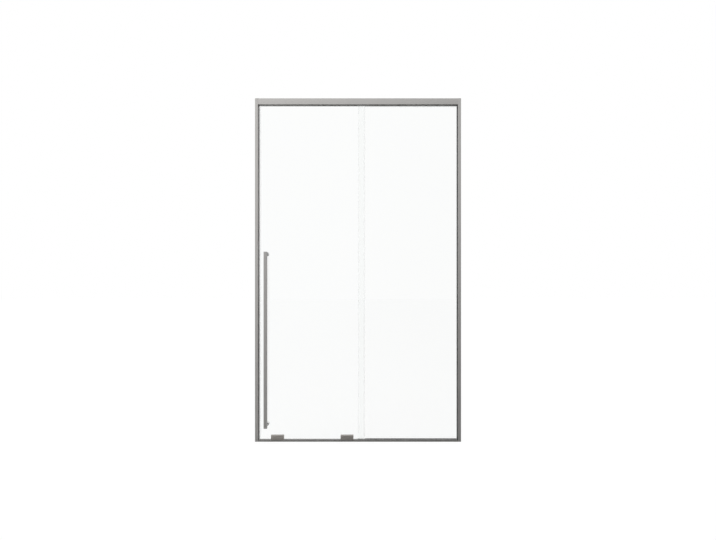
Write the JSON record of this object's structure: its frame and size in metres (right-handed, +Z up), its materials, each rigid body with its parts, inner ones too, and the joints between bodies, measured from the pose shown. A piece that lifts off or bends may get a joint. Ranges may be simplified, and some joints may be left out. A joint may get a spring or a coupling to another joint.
{
  "type": "sliding shower door",
  "caption": "Framed sliding shower door with clear glass panes, a square bar handle, bottom guides and rollers hidden behind a deep header.",
  "frame": {"origin": "middle of the sill's underside, half way across the width and the depth of the frame", "axes": "+X to the right as seen from the room, +Y into the shower, +Z up"},
  "size_m": [1.2192, 0.1035, 2.032],
  "materials": {
    "brushed_frame": "satin",
    "polished_handle": "satin",
    "mill_aluminium": "satin",
    "clear_glass": "polished",
    "zinc_steel": "satin",
    "bearing_steel": "polished",
    "nylon": "matte",
    "clear_vinyl": "satin",
    "black_gasket": "matte",
    "soft_pads": "matte",
    "magnet_strip": "matte"
  },
  "bodies": {
    "frame": {"header": "brushed_frame", "sill": "brushed_frame", "left_jamb": "brushed_frame", "right_jamb": "brushed_frame", "jamb_caps": "brushed_frame", "header_filler": "brushed_frame", "sill_filler": "brushed_frame", "left_wall_channel": "mill_aluminium", "right_wall_channel": "mill_aluminium", "stop_brackets": "mill_aluminium", "fixed_glass": "clear_glass", "corner_screws": "zinc_steel", "lock_screws": "zinc_steel", "stop_screws": "zinc_steel", "strike_seal": "clear_vinyl", "leading_seal": "clear_vinyl", "side_gasket": "black_gasket", "top_gasket": "black_gasket", "bottom_strips": "black_gasket", "setting_blocks": "black_gasket", "stop_bumpers": "black_gasket", "strike_magnet": "magnet_strip"},
    "door": {"sliding_glass": "clear_glass", "handle_bar": "polished_handle", "handle_end_plugs": "polished_handle", "handle_posts": "polished_handle", "handle_washers": "soft_pads", "handle_sleeves": "nylon", "handle_studs": "zinc_steel", "inner_knobs": "polished_handle", "carriage_plates": "zinc_steel", "carriage_gaskets": "soft_pads", "carriage_bolts": "zinc_steel", "carriage_washers": "zinc_steel", "carriage_bushes": "nylon", "carriage_nuts": "zinc_steel", "roller_axles": "zinc_steel", "axle_washers": "zinc_steel", "bearing_inner_rings": "bearing_steel", "guide_covers": "brushed_frame", "guide_clamps": "brushed_frame", "guide_pads": "soft_pads", "guide_glides": "nylon", "guide_screws": "zinc_steel", "door_seal": "clear_vinyl", "door_magnet": "magnet_strip", "rear_seal": "clear_vinyl"},
    "roller_1": {"roller_tyre_1": "nylon", "roller_bearing_1": "bearing_steel"},
    "roller_2": {"roller_tyre_2": "nylon", "roller_bearing_2": "bearing_steel"},
    "roller_3": {"roller_tyre_3": "nylon", "roller_bearing_3": "bearing_steel"},
    "roller_4": {"roller_tyre_4": "nylon", "roller_bearing_4": "bearing_steel"}
  },
  "joints": [
    {"name": "door_slide", "type": "slide", "parent": "frame", "child": "door", "axis": [1, 0, 0], "range_m": [0, 0.505]},
    {"name": "roller_1_spin", "type": "hinge", "parent": "door", "child": "roller_1", "pos_m": [-0.5087, -0.0004, 2.0102], "axis": [0, 1, 0], "continuous": true},
    {"name": "roller_2_spin", "type": "hinge", "parent": "door", "child": "roller_2", "pos_m": [-0.4447, -0.0004, 2.0102], "axis": [0, 1, 0], "continuous": true},
    {"name": "roller_3_spin", "type": "hinge", "parent": "door", "child": "roller_3", "pos_m": [-0.097, -0.0004, 2.0102], "axis": [0, 1, 0], "continuous": true},
    {"name": "roller_4_spin", "type": "hinge", "parent": "door", "child": "roller_4", "pos_m": [-0.033, -0.0004, 2.0102], "axis": [0, 1, 0], "continuous": true}
  ],
  "couplings": [
    {"joint": "roller_1_spin", "follows": "door_slide", "rad_per_m": 90.909},
    {"joint": "roller_2_spin", "follows": "door_slide", "rad_per_m": 90.909},
    {"joint": "roller_3_spin", "follows": "door_slide", "rad_per_m": 90.909},
    {"joint": "roller_4_spin", "follows": "door_slide", "rad_per_m": 90.909}
  ]
}
